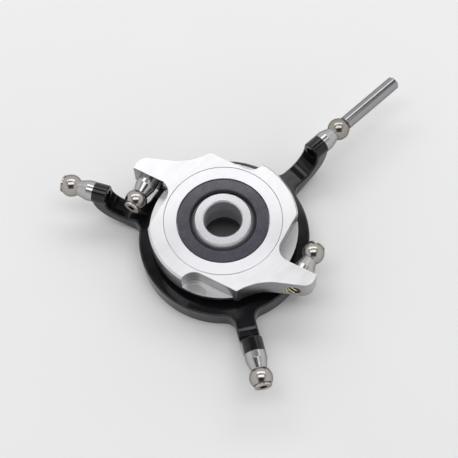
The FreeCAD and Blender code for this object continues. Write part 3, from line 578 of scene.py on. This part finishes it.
class SWASHPLATE_OT_studs(bpy.types.Operator):
    """Give each link ball and the guide pin marks that run round its own axis"""
    bl_idname = "swashplate.studs"
    bl_label = "Finish the link balls"

    def execute(self, context):
        look = context.scene.swashplate_finish
        for node, mount in (
            ("link_ball_left", "left_link_ball"), ("link_ball_front", "front_link_ball"),
            ("guide_ball_stud", "guide_link_ball"), ("upper_link_ball_a", "upper_link_ball_a"),
            ("upper_link_ball_b", "upper_link_ball_b"), ("guide_pin", "guide_pin"),
        ):
            colour, rough, depth = {
                "guide_pin": (PIN_STEEL, 0.13, 0.1e-6),
                "guide_ball_stud": (GUIDE_BALL_STEEL, 0.18, 0.3e-6),
            }.get(node, (list(look.steel), 0.18, 0.3e-6))
            # the cone and the tip face in lighter tones of the same steel: painted light
            parts = () if node == "guide_pin" else (
                (-1.7 * MM, -2.0 * MM, list(look.cone)), (1.60 * MM, 1.66 * MM, list(look.tip)))
            metal = machined_metal(
                "steel_" + node, colour, rough, look.edge, marks=0.00006, depth=depth,
                centre=MOUNTS[mount]["pos_m"], axis=MOUNTS[mount]["axis"],
                glancing=GLANCING_STEEL, speckle=0.01, parts=parts)
            dress(metal, node)
        return {"FINISHED"}


class SWASHPLATE_OT_threads(bpy.types.Operator):
    """Brass inserts, with a screw thread wound inside each mouth"""
    bl_idname = "swashplate.threads"
    bl_label = "Wind the threads"

    def execute(self, context):
        look = context.scene.swashplate_finish
        dull = machined_metal("insert_brass", DULL_BRASS, 0.35, look.edge)
        dress(dull, "thread_insert_a", "thread_insert_b")
        # painted highlight: the lit flank of each thread in bright brass
        bright = machined_metal("thread_brass_painted_highlight", PAINTED_HIGHLIGHT_BRASS, 0.25, 0.00003, depth=0.4e-6)
        for side in "ab":
            mount = MOUNTS["upper_link_ball_" + side]
            thread = self.thread("insert_thread_" + side, Vector(mount["pos_m"]),
                                 Vector(mount["axis"]))
            thread.data.materials.append(dull)
            thread.data.materials.append(bright)
            context.scene.collection.objects.link(thread)
            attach(thread, "upper")
        return {"FINISHED"}

    def thread(self, name, ball, axis):
        """A ridge that winds along the wall of the hole and stops at the arm's slanted flank."""
        pitch, steps = 0.5 * MM, 48
        tube, hole, height = 1.27 * MM, 1.58 * MM, 0.2 * MM
        flank, land = 0.26 * MM, 0.06 * MM
        first, tube_end, last = 7.65 * MM, 8.7 * MM, 10.2 * MM
        mouth, slant, skin = 9.48 * MM, 0.37, 0.04 * MM
        up = Vector((0, 0, 1))
        arm = axis.cross(up)
        made = bmesh.new()
        before = None
        for number in range(int((last - first) / pitch * steps)):
            turn = math.tau * number / steps
            depth = first + pitch * number / steps
            wall = tube if depth < tube_end else hole
            out = arm * math.cos(turn) + up * math.sin(turn)
            limit = mouth - slant * (wall - height) * math.cos(turn) - skin - flank
            if depth > limit:
                before = self.close(made, before)
                continue
            ring = [made.verts.new(ball - axis * (depth + shift) + out * (wall - rise))
                    for shift, rise in ((-flank, 0), (-land, height), (land, height), (flank, 0))]
            if before is None:
                made.faces.new(ring)
            else:
                for k in range(4):
                    face = made.faces.new((before[k], before[k - 1], ring[k - 1], ring[k]))
                    # the fourth face, one flank of the ridge, takes the bright brass as a painted
                    # highlight
                    face.material_index = int(k == 3)
            before = ring
        self.close(made, before)
        mesh = bpy.data.meshes.new(name)
        bmesh.ops.recalc_face_normals(made, faces=made.faces)
        made.to_mesh(mesh)
        made.free()
        return bpy.data.objects.new(name, mesh)

    def close(self, made, ring):
        """Cap the end of a stretch of ridge."""
        if ring:
            made.faces.new(ring)
        return None


class SWASHPLATE_PT_panel(bpy.types.Panel):
    """The swashplate's pieces in the sidebar"""
    bl_idname = "SWASHPLATE_PT_panel"
    bl_label = "Swashplate"
    bl_space_type = "VIEW_3D"
    bl_region_type = "UI"
    bl_category = "Swashplate"

    def draw(self, context):
        layout = self.layout
        for name in ("plates", "bearing", "uniball", "studs", "threads", "stage"):
            layout.operator("swashplate." + name)
        for group in (context.scene.swashplate_finish, context.scene.swashplate_stage):
            for key in group.__annotations__:
                layout.prop(group, key)


CLASSES = (SWASHPLATE_PG_finish, SWASHPLATE_PG_stage, SWASHPLATE_OT_plates, SWASHPLATE_OT_bearing,
           SWASHPLATE_OT_uniball, SWASHPLATE_OT_studs, SWASHPLATE_OT_threads, SWASHPLATE_OT_stage,
           SWASHPLATE_PT_panel)


def register():
    for cls in CLASSES:
        bpy.utils.register_class(cls)
    bpy.types.Scene.swashplate_finish = PointerProperty(type=SWASHPLATE_PG_finish)
    bpy.types.Scene.swashplate_stage = PointerProperty(type=SWASHPLATE_PG_stage)


def unregister():
    del bpy.types.Scene.swashplate_finish
    del bpy.types.Scene.swashplate_stage
    for cls in reversed(CLASSES):
        bpy.utils.unregister_class(cls)


def main():
    register()
    bpy.ops.swashplate.plates()
    bpy.ops.swashplate.bearing()
    bpy.ops.swashplate.uniball()
    bpy.ops.swashplate.studs()
    bpy.ops.swashplate.threads()
    bpy.ops.swashplate.stage()


if __name__ == "__main__":
    main()
